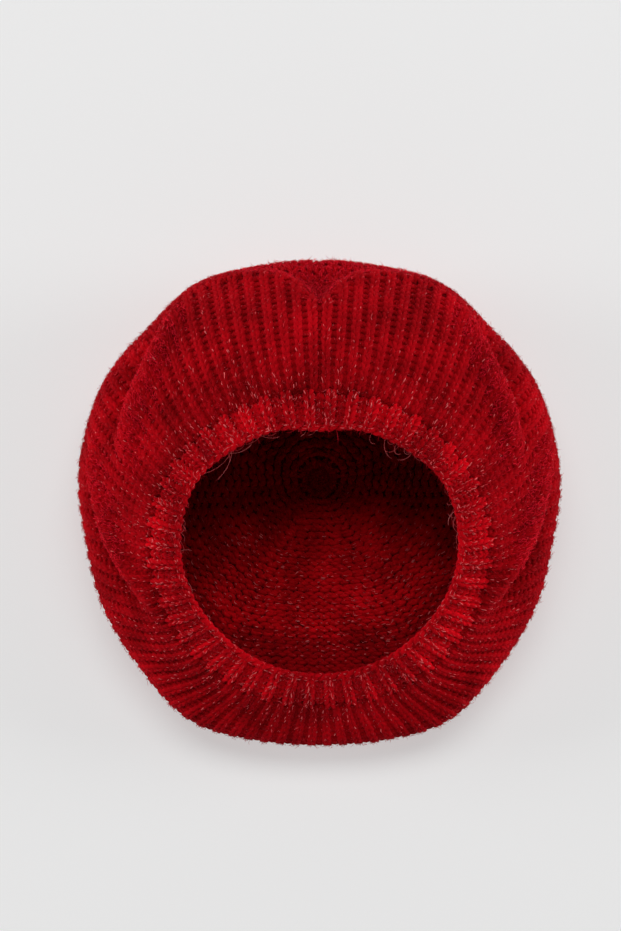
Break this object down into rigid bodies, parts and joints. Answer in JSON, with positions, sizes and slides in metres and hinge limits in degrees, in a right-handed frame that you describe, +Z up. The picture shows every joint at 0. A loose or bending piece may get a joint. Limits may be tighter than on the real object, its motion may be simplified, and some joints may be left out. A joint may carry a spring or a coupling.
{
  "type": "knitted beret",
  "caption": "Soft round knitted wool beret with a flat gathered crown, full ribbed body, back seam and a narrow ribbed headband around a tilted head opening.",
  "frame": {"origin": "under the middle of the outline, in the plane that the crown rests on", "axes": "+Z up from the resting crown towards the head opening, -Y to the front, towards which the opening tilts, +X to the side; the back seam lies at +Y"},
  "size_m": [0.2742, 0.276, 0.1109],
  "materials": {
    "band_wool": "deep red wool with pale pink fibre flecks, soft and hairy",
    "body_wool": "deep red wool with fewer pale flecks, soft and hairy",
    "sewing_wool": "the same red wool yarn, worked tight and a little darker"
  },
  "bodies": {
    "root": {"cast_on_edge": "band_wool", "ribbed_band": "band_wool", "increase_course": "body_wool", "ribbed_underside": "body_wool", "crown_side": "body_wool", "crown": "body_wool", "crown_gather": "body_wool", "closing_yarn": "sewing_wool", "seam_yarn": "sewing_wool", "end_tails": "sewing_wool"}
  },
  "joints": []
}
